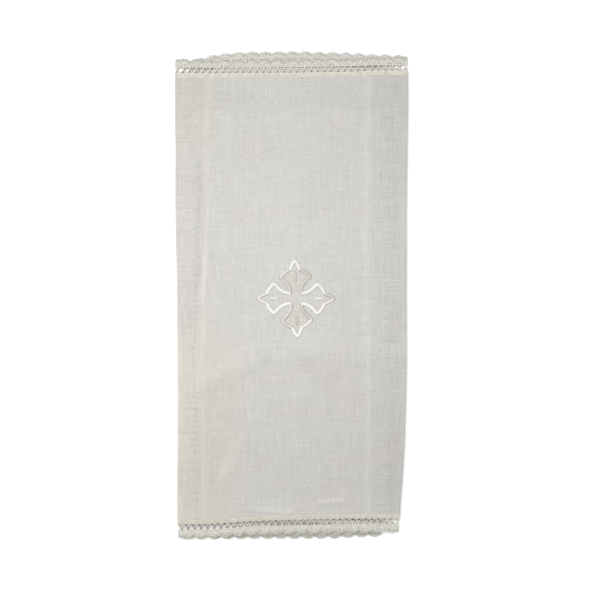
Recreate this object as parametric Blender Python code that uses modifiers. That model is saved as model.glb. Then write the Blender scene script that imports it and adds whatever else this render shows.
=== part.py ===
"""Purificator: a linen altar cloth folded lengthwise in three, edged with crochet lace at both ends,
with a cross embroidered on its front panel. It lies flat: X across, Y along the folds, Z up."""

from collections import namedtuple
from math import cos, pi, radians, sin

import bmesh
import bpy
from mathutils import Matrix, Vector

MM = 0.001
SIDES = ("left", "right")

# Driving sizes, in millimetres
CLOTH_THICKNESS = 1.0
LAYER_GAP = 0.5
LAYER_PITCH = CLOTH_THICKNESS + LAYER_GAP
HALF_LINEN = 149.5  # from the cloth's middle to either lace seam
PIECE_GAP = 0.3  # between two pieces that are sewn together

EDGE_COVER = 1.0  # an upper layer stays level this far past the flap edge that it lies over
DROP_RUN = 8.0  # and then comes down over this distance
FOLD_STEPS = 6

# The crochet edging, outward from its seam
HEADING = 3.2
OPEN_ROW = 4.3
SCALLOP_VALLEY = 2.9
SCALLOP_RISE = 3.0
STEM_WIDTH = 1.4  # between two openings, at their wide end
OPENING_TOP = 0.8  # an opening's narrow end, at the heading
CELLS = {"under": 30, "front": 34, "middle": 32}  # openings in each layer, two to a scallop

# The embroidered cross. "Out" runs along an arm from the centre, and "wide" across it.
CROSS_CENTRE = (3.7, -2.4)
CROSS_TURN = radians(1.2)
CROSS_TIP_OUT = 25.2
CROSS_NOTCH_OUT = 19.6
CROSS_NOTCH_WIDE = 3.1
CROSS_CORNER_OUT = 14.6
CROSS_CORNER_WIDE = 10.2
CROSS_INNER = 3.6
STITCH_BAND = 1.7
STITCH_THICKNESS = 0.5
STITCH_CROWN = 0.2
VEIN_START = 12.2
VEIN_LENGTH = 6.2
VEIN_WIDTH = 1.2
MITRE_LIMIT = 1.9

# Where the folds and the flaps' free edges lie, by distance along the cloth. The under flap comes from
# the left fold and lies on the surface. The middle flap comes from the right fold and lies on it.
Station = namedtuple("Station", "along left_fold right_fold under_edge middle_edge")
STATIONS = (
    Station(-163.0, -76.6, 73.5, 62.0, -73.6),
    Station(-146.0, -77.2, 74.6, 62.0, -73.6),
    Station(-119.0, -77.1, 76.6, 62.0, -73.2),
    Station(-98.0, -76.9, 77.7, 62.2, -72.5),
    Station(-68.0, -76.8, 78.6, 62.3, -72.5),
    Station(-37.0, -77.0, 79.0, 62.1, -72.5),
    Station(3.0, -77.2, 78.7, 61.5, -71.5),
    Station(24.0, -77.7, 78.9, 60.9, -70.3),
    Station(44.0, -78.2, 78.8, 60.9, -69.5),
    Station(65.0, -78.5, 78.9, 61.2, -68.9),
    Station(105.0, -78.4, 79.5, 61.8, -67.7),
    Station(126.0, -78.9, 79.9, 61.9, -67.5),
    Station(163.0, -78.8, 79.7, 62.0, -67.5),
)

# Where the lace seams of each layer lie at the near and far ends, by distance across the cloth
Seam = namedtuple("Seam", "across near far")
SEAMS = {
    "under": (
        Seam(-80.0, -153.0, 147.9),
        Seam(-20.0, -152.9, 147.2),
        Seam(30.0, -152.7, 147.3),
        Seam(48.0, -151.6, 148.0),
        Seam(62.0, -151.2, 148.6),
    ),
    "front": (
        Seam(-80.0, -153.0, 147.9),
        Seam(-52.0, -152.5, 147.6),
        Seam(-40.0, -151.6, 147.6),
        Seam(-28.0, -150.6, 147.8),
        Seam(0.0, -149.7, 148.0),
        Seam(40.0, -148.9, 148.7),
        Seam(60.0, -148.8, 149.4),
        Seam(80.0, -148.9, 149.8),
    ),
    "middle": (
        Seam(-74.0, -140.0, 146.4),
        Seam(-62.0, -140.9, 148.4),
        Seam(-53.0, -141.3, 150.8),
        Seam(-43.0, -141.8, 152.2),
        Seam(-33.0, -142.2, 152.8),
        Seam(0.0, -143.8, 153.2),
        Seam(20.0, -144.8, 152.9),
        Seam(40.0, -145.8, 152.2),
        Seam(57.0, -147.2, 151.1),
        Seam(72.0, -148.5, 150.7),
        Seam(80.0, -148.9, 149.8),
    ),
}

# Soft creases pressed into the front panel: where each starts and ends, half its width, and its height
Crease = namedtuple("Crease", "x0 y0 x1 y1 half_width height")
CREASES = (
    Crease(-38.0, -143.0, 12.0, -146.5, 4.0, 0.6),
    Crease(13.0, -140.5, 47.0, -137.0, 4.0, 0.7),
    Crease(-31.0, -96.0, -49.0, -126.0, 9.0, 0.5),
    Crease(-58.5, 30.0, -60.5, -10.0, 5.0, 0.5),
    Crease(-56.0, -60.0, -24.0, -42.0, 12.0, 0.4),
    Crease(60.0, 118.0, 74.0, 96.0, 8.0, 0.35),
)

# How many columns the linen has in each stretch of a layer, in the order of the section's path
LINEN_COLUMNS = {"under": (10,), "front": (2, 13, 3), "middle": (3, 16)}
LINEN_ROWS = (
    (-149.5, -146.0, -142.5, -139.0, -135.5, -130.0, -121.0, -110.0, -98.0, -84.0, -68.0, -52.0)
    + (-36.0, -10.0, 8.0, 26.0, 44.0, 62.0, 80.0, 96.0, 112.0, 128.0, 140.0, 149.5)
)

COLOURS = {
    "linen": ((0.80, 0.79, 0.74, 1.0), 0.9),
    "lace": ((0.84, 0.82, 0.74, 1.0), 0.85),
    "thread": ((0.90, 0.89, 0.85, 1.0), 0.45),
}


def clamp(value):
    return max(0.0, min(1.0, value))


def eased(value):
    """0 below 0, 1 above 1, and a smooth rise between."""
    t = clamp(value)
    return t * t * (3 - 2 * t)


def read(table, key, column, at):
    """A table's column at a place between its rows, along straight lines from row to row."""
    rows = sorted(table, key=lambda row: getattr(row, key))
    at = max(getattr(rows[0], key), min(getattr(rows[-1], key), at))
    for low, high in zip(rows, rows[1:]):
        if at <= getattr(high, key):
            break
    share = (at - getattr(low, key)) / (getattr(high, key) - getattr(low, key))
    return getattr(low, column) + share * (getattr(high, column) - getattr(low, column))


class Section:
    """The folded cloth cut across at one distance along it. Its path runs from the under flap's free
    edge to the left fold, back over the front panel to the right fold, and in to the middle flap's edge."""

    def __init__(self, along):
        at = Station(along, *(read(STATIONS, "along", c, along) for c in Station._fields[1:]))
        self.at = at
        self.along = along
        half = CLOTH_THICKNESS / 2
        # Past a flap's free edge the layers above come down, as far as the room up to the fold allows
        right_room = at.right_fold - at.under_edge - 2 * EDGE_COVER - LAYER_PITCH / 2
        left_room = at.middle_edge - at.left_fold - 2 * EDGE_COVER - LAYER_PITCH / 2
        self.right_run = min(DROP_RUN, right_room)
        self.left_run = min(DROP_RUN, max(left_room, 1.0))
        self.left_drop = clamp(left_room / DROP_RUN)
        left_rise = (2 - self.left_drop) * LAYER_PITCH / 2
        right_rise = LAYER_PITCH / 2
        self.folds = {
            "left": (at.left_fold + half + left_rise, half + left_rise, left_rise),
            "right": (at.right_fold - half - right_rise, half + right_rise, right_rise),
        }
        # Each layer's stretches, between its ends and the edges of the flaps that it lies over
        left, right = self.folds["left"][0], self.folds["right"][0]
        drop_right = at.under_edge + EDGE_COVER
        drop_left = at.middle_edge - EDGE_COVER
        self.stretches = {
            "under": (at.under_edge, left),
            "front": (left, drop_left, drop_right, right),
            "middle": (right, drop_right, at.middle_edge),
        }

    def height(self, layer, x):
        """How high the middle of a layer's thickness lies."""
        over_under = 1 - eased((x - self.at.under_edge - EDGE_COVER) / self.right_run)
        off_middle = eased((self.at.middle_edge - EDGE_COVER - x) / self.left_run)
        over_middle = 1 - self.left_drop * off_middle
        levels = {"under": 0.0, "middle": over_under, "front": over_under + over_middle}[layer]
        return CLOTH_THICKNESS / 2 + LAYER_PITCH * levels

    def share_at(self, layer, stretch, part):
        """The share of the way along a layer at which part of one of its stretches has gone by."""
        marks = self.stretches[layer]
        x = marks[stretch] + (marks[stretch + 1] - marks[stretch]) * part
        return (x - marks[0]) / (marks[-1] - marks[0])

    def flat_point(self, layer, share):
        start, *_, end = self.stretches[layer]
        x = start + (end - start) * share
        y = lengthwise(layer, x, self.along)
        z = self.height(layer, x)
        if layer == "front":
            z += crease_height(x, y)
        return Vector((x, y, z)) * MM

    def fold_point(self, side, share):
        """A point on the half circle of a fold, from its lower layer to the front panel or back."""
        centre_x, centre_z, radius = self.folds[side]
        turn = (share - 0.5) * pi
        outward = -1 if side == "left" else 1
        rising = 1 if side == "left" else -1
        x = centre_x + outward * radius * cos(turn)
        lower = "under" if side == "left" else "middle"
        front_share = share if side == "left" else 1 - share
        y = (1 - front_share) * lengthwise(lower, centre_x, self.along)
        y += front_share * lengthwise("front", centre_x, self.along)
        return Vector((x, y, centre_z + rising * radius * sin(turn))) * MM


def lengthwise(layer, x, along):
    """Where a point of the cut cloth, this far along it, comes to lie on the folded cloth."""
    near = read(SEAMS[layer], "across", "near", x)
    far = read(SEAMS[layer], "across", "far", x)
    if along > HALF_LINEN:
        return far + along - HALF_LINEN
    if along < -HALF_LINEN:
        return near + along + HALF_LINEN
    return near + (far - near) * (along + HALF_LINEN) / (2 * HALF_LINEN)


def crease_height(x, y):
    """How far the soft creases lift the front panel at a point."""
    rise = 0.0
    for crease in CREASES:
        start = Vector((crease.x0, crease.y0))
        line = Vector((crease.x1, crease.y1)) - start
        way = Vector((x, y)) - start
        share = way.dot(line) / line.length_squared
        across = (way - line * share).length / crease.half_width
        beyond = max(0.0, abs(share - 0.5) - 0.5) * line.length / crease.half_width
        rise += crease.height * (1 - eased((across**2 + beyond**2) ** 0.5))
    return rise


def section_path(column):
    """The point of a section that a column names: a layer or a fold, and the share of the way along it."""
    run, share = column

    def point(along):
        section = Section(along)
        if run in SIDES:
            return section.fold_point(run, share)
        return section.flat_point(run, share)

    return point


def fold_columns(side):
    return [(side, step / FOLD_STEPS) for step in range(1, FOLD_STEPS)]


def joined_runs(layers, folds):
    """The columns of the three layers, in the order of the section's path, with the two folds between."""
    return layers["under"] + folds["left"] + layers["front"] + folds["right"] + layers["middle"]


def material(name):
    made = bpy.data.materials.get(name) or bpy.data.materials.new(name)
    colour, roughness = COLOURS[name]
    made.use_nodes = True
    shader = made.node_tree.nodes["Principled BSDF"]
    shader.inputs["Base Color"].default_value = colour
    shader.inputs["Roughness"].default_value = roughness
    shader.inputs["Metallic"].default_value = 0.0
    return made


def add_object(name, mesh, finish, collection, frame):
    made = bpy.data.objects.new(name, mesh)
    made.data.materials.append(material(finish))
    made.data.shade_smooth()
    made.data.set_sharp_from_angle(angle=pi / 5)
    collection.objects.link(made)
    made.parent = frame
    return made


def thicken(made, thickness):
    solid = made.modifiers.new("Thickness", "SOLIDIFY")
    solid.thickness = thickness * MM
    solid.offset = 0.0
    solid.use_even_offset = True
    return solid


def grid_mesh(name, columns, row_places, is_open=None):
    """A sheet from a flat grid: each grid point goes to its column's point of the section at its row's
    distance along the cloth, and the faces that is_open picks are taken out first."""
    bm = bmesh.new()
    rows = len(row_places(0))
    bmesh.ops.create_grid(bm, x_segments=len(columns) - 1, y_segments=rows - 1, size=1.0)
    steps = (len(columns) - 1, rows - 1)

    def place(point, axis):
        return (point[axis] + 1) / 2 * steps[axis]

    if is_open:
        centres = {face: face.calc_center_median() for face in bm.faces}
        openings = [f for f, c in centres.items() if is_open(int(place(c, 0)), int(place(c, 1)))]
        bmesh.ops.delete(bm, geom=openings, context="FACES")
    for vertex in bm.verts:
        column, row = (round(place(vertex.co, axis)) for axis in (0, 1))
        vertex.co = section_path(columns[column][row])(row_places(column)[row])
    mesh = bpy.data.meshes.new(name)
    bm.to_mesh(mesh)
    bm.free()
    return mesh


def linen_cloth():
    """The linen panel, folded in three with its layers a little apart."""
    sections = [Section(along) for along in LINEN_ROWS]
    runs = {}
    for layer, counts in LINEN_COLUMNS.items():
        steps = [(stretch, step / count) for stretch, count in enumerate(counts) for step in range(count)]
        steps.append((len(counts) - 1, 1.0))
        runs[layer] = [[(layer, section.share_at(layer, *step)) for section in sections] for step in steps]
    folds = {side: [[column] * len(LINEN_ROWS) for column in fold_columns(side)] for side in SIDES}
    columns = joined_runs(runs, folds)
    return grid_mesh("linen_cloth", columns, lambda column: LINEN_ROWS)


def lace_columns():
    """The columns of the edging: in each layer the two sides of every opening, between the layer's ends.
    Each column gives its place at the seam, the heading, the far side of the open row and the rim. Also
    the numbers of the columns that have an opening on their right."""
    runs, open_at = {}, {}
    for layer, cells in CELLS.items():
        start, *_, end = Section(0.0).stretches[layer]
        pitch = abs(end - start) / cells
        runs[layer], open_at[layer] = [[(layer, 0.0)] * 4], []
        for cell in range(cells):
            for side in (-1, 1):
                if side < 0:
                    open_at[layer].append(len(runs[layer]))
                offsets = (0.25, OPENING_TOP / 2 / pitch, (1 - STEM_WIDTH / pitch) / 2, 0.25)
                shares = [(cell + 0.5 + side * offset) / cells for offset in offsets]
                runs[layer].append([(layer, share) for share in shares])
        runs[layer].append([(layer, 1.0)] * 4)
    folds = {side: [[column] * 4 for column in fold_columns(side)] for side in SIDES}
    columns = joined_runs(runs, folds)
    starts = {layer: columns.index(run[0]) for layer, run in runs.items()}
    openings = {starts[layer] + number for layer, numbers in open_at.items() for number in numbers}
    return columns, openings


def scallop_reach(column):
    """How far the rim stands out at a column: two openings make one scallop, and a fold is a valley."""
    run, share = column
    if run in SIDES:
        return 0.0
    return SCALLOP_RISE * (1 - cos(pi * share * CELLS[run])) / 2


def lace_edging(name, end):
    """The crochet edging of one end, which stands out from the linen along Y by end, 1 or -1."""
    columns, openings = lace_columns()
    body = HEADING + OPEN_ROW + SCALLOP_VALLEY

    def places(column):
        rim = body + scallop_reach(columns[column][-1])
        outward = (PIECE_GAP, HEADING, HEADING + OPEN_ROW, rim)
        return [end * (HALF_LINEN + distance) for distance in outward]

    def is_open(column, row):
        return row == 1 and column in openings

    mesh = grid_mesh(name, columns, places, is_open)
    if end < 0:
        mesh.flip_normals()
    return mesh


def curve_points(start, control, end, steps):
    """Points along a quadratic curve, without its last."""
    return [
        (1 - t) ** 2 * start + 2 * t * (1 - t) * control + t**2 * end
        for t in (step / steps for step in range(steps))
    ]


def cross_contour():
    """The closed middle line of the cross's outline: four arms that flare to two corners, draw in to a
    notch, and end in a point."""
    inner = Vector((CROSS_INNER, CROSS_INNER))
    corner = Vector((CROSS_CORNER_OUT, CROSS_CORNER_WIDE))
    notch = Vector((CROSS_NOTCH_OUT, CROSS_NOTCH_WIDE))
    tip = Vector((CROSS_TIP_OUT, 0.0))
    hollow = Vector((CROSS_INNER + 0.5 * (corner.x - inner.x), CROSS_INNER - 0.6))
    shoulder = (corner + notch) / 2 + Vector((1.3, 0.6))
    leaf = (notch + tip) / 2 + Vector((0.4, 0.9))
    upper = (
        curve_points(inner, hollow, corner, 5)
        + curve_points(corner, shoulder, notch, 3)
        + curve_points(notch, leaf, tip, 3)
    )
    lower = [Vector((point.x, -point.y)) for point in upper]
    arm = lower + [Vector((tip.x, 0.0))] + upper[:0:-1]
    contour = []
    for quarter in range(4):
        turn = Matrix.Rotation(CROSS_TURN + quarter * pi / 2, 2)
        contour += [turn @ point for point in arm]
    return contour


def mitred_sides(contour):
    """At each point of a closed line, the way across it, lengthened so that a band keeps its width."""
    sides = []
    for before, point, after in zip(contour[-1:] + contour, contour, contour[1:] + contour[:1]):
        came, goes = (point - before).normalized(), (after - point).normalized()
        along = (came + goes).normalized()
        across = Vector((-along.y, along.x))
        stretch = 1 / max(abs(across.dot(Vector((-came.y, came.x)))), 1 / MITRE_LIMIT)
        sides.append(across * stretch)
    return sides


def stitch_height():
    """The height of an embroidered band's middle, just clear of the front panel."""
    front_top = CLOTH_THICKNESS + 2 * LAYER_PITCH
    return front_top + PIECE_GAP + STITCH_THICKNESS / 2


def cross_outline():
    """The raised band of satin stitch around the cross, crowned along its middle."""
    contour = cross_contour()
    sides = mitred_sides(contour)
    count = len(contour)
    bm = bmesh.new()
    bmesh.ops.create_grid(bm, x_segments=count, y_segments=2, size=1.0)
    for vertex in bm.verts:
        number = round((vertex.co.x + 1) / 2 * count) % count
        offset = -vertex.co.y
        point = contour[number] + sides[number] * offset * STITCH_BAND / 2
        crown = STITCH_CROWN * (1 - abs(offset))
        vertex.co = Vector((*(point + Vector(CROSS_CENTRE)), stitch_height() + crown)) * MM
    bmesh.ops.remove_doubles(bm, verts=bm.verts, dist=0.01 * MM)
    bmesh.ops.recalc_face_normals(bm, faces=bm.faces)
    mesh = bpy.data.meshes.new("cross_outline")
    bm.to_mesh(mesh)
    bm.free()
    return mesh


def cross_vein(name):
    """A short bar of satin stitch, its length along X."""
    bm = bmesh.new()
    bmesh.ops.create_cube(bm, size=1.0)
    size = Vector((VEIN_LENGTH, VEIN_WIDTH, STITCH_THICKNESS)) * MM
    bmesh.ops.scale(bm, vec=size, verts=bm.verts)
    mesh = bpy.data.meshes.new(name)
    bm.to_mesh(mesh)
    bm.free()
    return mesh


def add_veins(collection, frame):
    """One short bar in each arm of the cross."""
    for quarter, direction in enumerate(("right", "top", "left", "bottom")):
        name = "cross_vein_" + direction
        vein = add_object(name, cross_vein(name), "thread", collection, frame)
        angle = CROSS_TURN + quarter * pi / 2
        reach = VEIN_START + VEIN_LENGTH / 2
        centre = Vector((*CROSS_CENTRE, stitch_height())) + Vector((cos(angle), sin(angle), 0)) * reach
        vein.location = centre * MM
        vein.rotation_euler.z = angle
        rounding = vein.modifiers.new("Rounded stitches", "BEVEL")
        rounding.width = 0.2 * MM
        rounding.segments = 2


def centre_on_origin(collection, frame):
    """Puts the origin on the surface that the cloth lies on, under the middle of its outline."""
    bpy.context.view_layer.update()
    depsgraph = bpy.context.evaluated_depsgraph_get()
    points = []
    for made in collection.objects:
        if made.type == "MESH":
            evaluated = made.evaluated_get(depsgraph)
            points += [evaluated.matrix_world @ vertex.co for vertex in evaluated.data.vertices]
    low = Vector(min(point[axis] for point in points) for axis in range(3))
    high = Vector(max(point[axis] for point in points) for axis in range(3))
    frame.location = (-(low.x + high.x) / 2, -(low.y + high.y) / 2, -low.z)
    bpy.context.view_layer.update()


def main():
    for old in list(bpy.data.objects):
        bpy.data.objects.remove(old)
    collection = bpy.data.collections.new("Purificator")
    bpy.context.scene.collection.children.link(collection)
    frame = bpy.data.objects.new("purificator", None)
    collection.objects.link(frame)

    sheets = [
        ("linen_cloth", linen_cloth(), "linen"),
        ("lace_top", lace_edging("lace_top", 1), "lace"),
        ("lace_bottom", lace_edging("lace_bottom", -1), "lace"),
    ]
    for name, mesh, finish in sheets:
        thicken(add_object(name, mesh, finish, collection, frame), CLOTH_THICKNESS)
    outline = add_object("cross_outline", cross_outline(), "thread", collection, frame)
    thicken(outline, STITCH_THICKNESS)
    add_veins(collection, frame)
    centre_on_origin(collection, frame)


main()
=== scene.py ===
"""The purificator dressed for its photograph: slubby linen folded in three, crochet lace made yarn by yarn,
and a cross of satin stitches. Distances are in millimetres until a mesh is made from them."""

from collections import namedtuple
from functools import reduce
from math import pi, radians

import bpy
import numpy as np
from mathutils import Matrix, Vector


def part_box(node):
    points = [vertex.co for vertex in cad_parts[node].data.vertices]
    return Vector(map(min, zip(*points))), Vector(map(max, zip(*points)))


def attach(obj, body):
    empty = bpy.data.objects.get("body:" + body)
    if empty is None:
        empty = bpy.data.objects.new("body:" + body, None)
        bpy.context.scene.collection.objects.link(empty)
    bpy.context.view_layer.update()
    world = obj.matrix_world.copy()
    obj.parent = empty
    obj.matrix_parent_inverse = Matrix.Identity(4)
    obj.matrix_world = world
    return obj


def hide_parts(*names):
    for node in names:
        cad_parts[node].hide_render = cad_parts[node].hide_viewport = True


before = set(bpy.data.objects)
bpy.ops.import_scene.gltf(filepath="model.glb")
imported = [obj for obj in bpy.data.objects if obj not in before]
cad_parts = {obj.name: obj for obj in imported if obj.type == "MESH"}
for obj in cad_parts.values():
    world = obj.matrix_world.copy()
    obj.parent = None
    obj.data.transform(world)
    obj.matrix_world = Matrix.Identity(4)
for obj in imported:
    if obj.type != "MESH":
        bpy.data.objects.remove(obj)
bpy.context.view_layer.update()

MM = 0.001
METRE = 1000.0  # in millimetres
TINY = 1e-9

# The folded cloth. Its folds, free edges and seams lie where those of the solids do, and its layers are
# thinner than theirs.
LAYER_PITCH = 1.6  # between the middles of two layers
LOWEST_MIDDLE = 0.5  # the height of the under flap's middle
LINEN_THICKNESS = 0.65
HEM_THICKNESS = 0.85
EDGE_COVER = 1.0  # an upper layer stays level this far past the flap edge that it lies over
DROP_RUN = 8.0  # and then comes down over this distance
HALF_LINEN = 149.5  # from the cloth's middle to either lace seam
HEM_WIDTH = 10.4
HEM_STITCH = 2.2
HEM_STITCH_PITCH = 4.1
HEM_STITCH_IN = 0.9  # from the hem's turned edge to its line of stitches
CROSS_CENTRE = (3.7, -2.4)

# Where the folds and the flaps' free edges lie, by distance along the cloth. The under flap comes from
# the left fold and lies lowest, and the middle flap comes from the right fold.
Station = namedtuple("Station", "along left_fold right_fold under_edge middle_edge")
STATIONS = (
    Station(-163.0, -76.6, 73.5, 62.0, -73.6),
    Station(-146.0, -77.2, 74.6, 62.0, -73.6),
    Station(-119.0, -77.1, 76.6, 62.0, -73.2),
    Station(-98.0, -76.9, 77.7, 62.2, -72.5),
    Station(-68.0, -76.8, 78.6, 62.3, -72.5),
    Station(-37.0, -77.0, 79.0, 62.1, -72.5),
    Station(3.0, -77.2, 78.7, 61.5, -71.5),
    Station(24.0, -77.7, 78.9, 60.9, -70.3),
    Station(44.0, -78.2, 78.8, 60.9, -69.5),
    Station(65.0, -78.5, 78.9, 61.2, -68.9),
    Station(105.0, -78.4, 79.5, 61.8, -67.7),
    Station(126.0, -78.9, 79.9, 61.9, -67.5),
    Station(163.0, -78.8, 79.7, 62.0, -67.5),
)

# Where the lace seams of each layer lie at the near and far ends, by distance across the cloth
Seam = namedtuple("Seam", "across near far")
SEAMS = {
    "under": (
        Seam(-80.0, -153.0, 147.9),
        Seam(-20.0, -152.9, 147.2),
        Seam(30.0, -152.7, 147.3),
        Seam(48.0, -151.6, 148.0),
        Seam(62.0, -151.2, 148.6),
    ),
    "front": (
        Seam(-80.0, -153.0, 147.9),
        Seam(-52.0, -152.5, 147.6),
        Seam(-40.0, -151.6, 147.6),
        Seam(-28.0, -150.6, 147.8),
        Seam(0.0, -149.7, 148.0),
        Seam(40.0, -148.9, 148.7),
        Seam(60.0, -148.8, 149.4),
        Seam(80.0, -148.9, 149.8),
    ),
    "middle": (
        Seam(-74.0, -140.0, 146.4),
        Seam(-62.0, -140.9, 148.4),
        Seam(-53.0, -141.3, 150.8),
        Seam(-43.0, -141.8, 152.2),
        Seam(-33.0, -142.2, 152.8),
        Seam(0.0, -143.8, 153.2),
        Seam(20.0, -144.8, 152.9),
        Seam(40.0, -145.8, 152.2),
        Seam(57.0, -147.2, 151.1),
        Seam(72.0, -148.5, 150.7),
        Seam(80.0, -148.9, 149.8),
    ),
}

# How far to each side of a row of these two tables its corner is rounded off
STATION_ROUNDING = 5.0
SEAM_ROUNDING = 4.0

# Soft creases in the front panel: start, end, half width, height and how much paler the cloth looks there,
# which is a painted highlight where it is above 0 and painted shade where it is below
Crease = namedtuple("Crease", "x0 y0 x1 y1 half_width height light")
CREASES = (
    Crease(17.7, -140.5, 37.0, -138.9, 1.5, 0.1, 0.12),
    Crease(17.3, -143.5, 36.2, -142.3, 1.8, 0.0, -0.06),
    Crease(-24.1, -145.4, 0.3, -147.0, 2.6, 0.15, 0.08),
    Crease(-37.0, -147.4, -5.4, -149.0, 1.4, 0.0, -0.06),
    Crease(-32.2, -97.4, -46.0, -122.6, 6.0, 0.3, 0.04),
    Crease(-57.6, 32.0, -59.7, -5.0, 2.0, 0.3, 0.09),
    Crease(-62.0, 96.0, -62.6, 20.0, 4.5, 0.0, -0.045),
    Crease(-62.6, 20.0, -65.2, -8.0, 4.0, 0.0, -0.04),
    Crease(-62.8, -54.6, -66.2, -79.0, 2.2, 0.2, 0.045),
    Crease(-58.0, -60.0, -26.0, -43.0, 12.0, 0.8, 0.0),
    Crease(-26.0, -43.0, 30.0, -38.0, 12.0, 0.4, 0.0),
    Crease(60.0, 118.0, 74.0, 96.0, 8.0, 0.5, 0.0),
)
CREASE_EVEN = 0.4  # the share of a crease's length, to each side of its middle, before it fades

# What the hem of a flap does to the front panel above it: a low step with a ridge at the turned edge
HEM_STEP = 0.1
HEM_STEP_RUN = 1.5
HEM_RIDGE = 0.13
HEM_RIDGE_WIDTH = 1.1
UNDER_HEM_SHARE = 0.7  # the under flap's hem, a layer farther down, does this much of it

# The slow waves of the front panel: their height, and the lengths that set how they run
WAVE_HEIGHT = 0.07
WAVE_ACROSS = 17.0
WAVE_ALONG = 23.0
WAVE_SWAY = 31.0
WAVE_SLANTING = 41.0
CALM = 6.0  # from a fold, over which the front panel's relief grows

# The flat cloth across, in runs from the under flap's free edge to the middle flap's
CELL = 4.62  # one opening of the lace, half a scallop
CELLS = {"under": 30, "front": 34, "middle": 32}  # openings in each layer
LEFT_ROUND = 3.6
RIGHT_ROUND = 2.6
Run = namedtuple("Run", "start length")


def runs_across():
    lengths = {run: cells * CELL for run, cells in CELLS.items()} | {"left": LEFT_ROUND, "right": RIGHT_ROUND}
    runs, start = {}, 0.0
    for run in ("under", "left", "front", "right", "middle"):
        runs[run] = Run(start, lengths[run])
        start += lengths[run]
    return runs, start


RUNS, FLAT_WIDTH = runs_across()
CLOTH_TOP = LOWEST_MIDDLE + 2 * LAYER_PITCH + LINEN_THICKNESS / 2

# The crochet lace, outward from its seam
HEADING = 3.2
SPLIT = 5.4  # where a stem parts into two arms
BODY = 7.4  # where the dense rows start
HALFWAY = 0.48  # the share of the way to the rim at which the second dense row starts
RIM_VALLEY = 10.1
RIM_RISE = 1.9
RIM_EXTRA = {"under": 0.6, "front": 0.0, "middle": 0.35}  # how much farther out each layer's rim lies
SCALLOP_FULLNESS = 0.8  # below 1, a scallop is fuller than half a wave
FOLD_RIM = 0.8  # at a fold the rim has this share of a scallop's rise
FOLD_RIM_RUN = 2.0
STITCH = CELL / 5  # along the lace, ten to a scallop
PICOT = CELL / 4  # between the rim's loops, eight to a scallop
LACE_MARGIN = 0.3  # from the ends of the lace to its outermost yarns

# In the lace the layers lie closer together: by what share, from how far past the seam, over what run
CLOSING = 0.6
CLOSING_START = 1.0
CLOSING_RUN = 5.0

# The near rim of the front panel curls up: how far, from how far past the seam, over what run
NEAR_CURL = 0.8
CURL_START = 8.0
CURL_RUN = 3.0

# Half the thickness of each kind of yarn
STITCH_RADIUS = 0.44
ARM_RADIUS = 0.35
ROW_RADIUS = 0.39
CHAIN_RADIUS = 0.36
HEADING_CHAIN_RADIUS = 0.38
RIM_CHAIN_RADIUS = 0.3
PICOT_RADIUS = 0.22
HEM_THREAD_RADIUS = 0.16

# Some stitches of the dense rows are short: how many by chance, and how long they are
SHORT_CHANCE = 0.07
SHORT_LENGTH = 0.45

# The stretch of the middle flap's far open row that stitches close: from its fold, and how deep
FILLING_START = 30.0
FILLING_END = 128.0
FILLING_DEPTH = 2.6

# The embroidered cross. "Out" runs along an arm from the centre, and "wide" across it.
CROSS_TIP_OUT = 25.9
CROSS_NOTCH_OUT = 19.6
CROSS_NOTCH_WIDE = 3.1
CROSS_CORNER_OUT = 14.6
CROSS_CORNER_WIDE = 10.2
CROSS_INNER = 3.6
HOLLOW_DEPTH = 0.6
SHOULDER_BULGE = (1.3, 0.6)
LEAF_BULGE = (0.4, 0.9)
STITCH_BAND = 2.2
STITCH_CROWN = 0.45
VEIN_START = 12.2
VEIN_LENGTH = 6.2
VEIN_WIDTH = 1.3
THREAD_PITCH = 0.3
THREAD_RADIUS = 0.2

# The colours of the linen and the yarns
LINEN_COLOUR = np.array([0.573, 0.562, 0.531])
HEM_THREAD = np.array([0.68, 0.67, 0.63])
BAND = np.array([0.65, 0.632, 0.557])  # the lace's heading
PALE = np.array([0.72, 0.705, 0.64])  # its stems, arms and lower chains
CREAM = np.array([0.70, 0.69, 0.625])  # its dense rows
COTTON = np.array([0.70, 0.695, 0.675])  # its far rim on the flaps
# The satin thread as lit and shaded copies: painted dull where its stitches don't catch the light, and with a
# painted sheen where they do
SATIN_PAINTED_DULL = np.array([0.60, 0.578, 0.53])
SATIN_PAINTED_SHEEN = np.array([0.88, 0.87, 0.825])
TAPE_SHADE = 0.92  # painted shade of the heading between its stitches
UNDER_SHADE = 0.88  # and the under flap's near lace, in the shade of the front panel's

# The painted shade that shows between the stitches of the dense rows, at the far end, 1, and the near end, -1
GAP_SHADE = {1: np.array([0.55, 0.53, 0.46]), -1: np.array([0.62, 0.60, 0.53])}

# The unevenness of the linen's threads: the size of each grain, its detail, and how much it changes the
# brightness
Grain = namedtuple("Grain", "across along detail amount")
GRAINS = {
    "threads across": Grain(20.0, 0.55, 2.0, 0.20),
    "threads along": Grain(0.55, 20.0, 2.0, 0.23),
    "short slubs across": Grain(4.0, 0.5, 1.0, 0.17),
    "short slubs along": Grain(0.5, 4.0, 1.0, 0.17),
    "long slubs across": Grain(60.0, 1.3, 1.0, 0.07),
    "long slubs along": Grain(1.3, 60.0, 1.0, 0.09),
    "clouds": Grain(9.0, 9.0, 3.0, 0.06),
    "specks": Grain(0.5, 0.5, 1.0, 0.12),
}
HUE_GRAIN = Grain(34.0, 22.0, 1.0, 0.03)
WEAVE_PITCH = 0.55
WEAVE_LIGHT = 0.05
WEAVE_WANDER = 3.0
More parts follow.
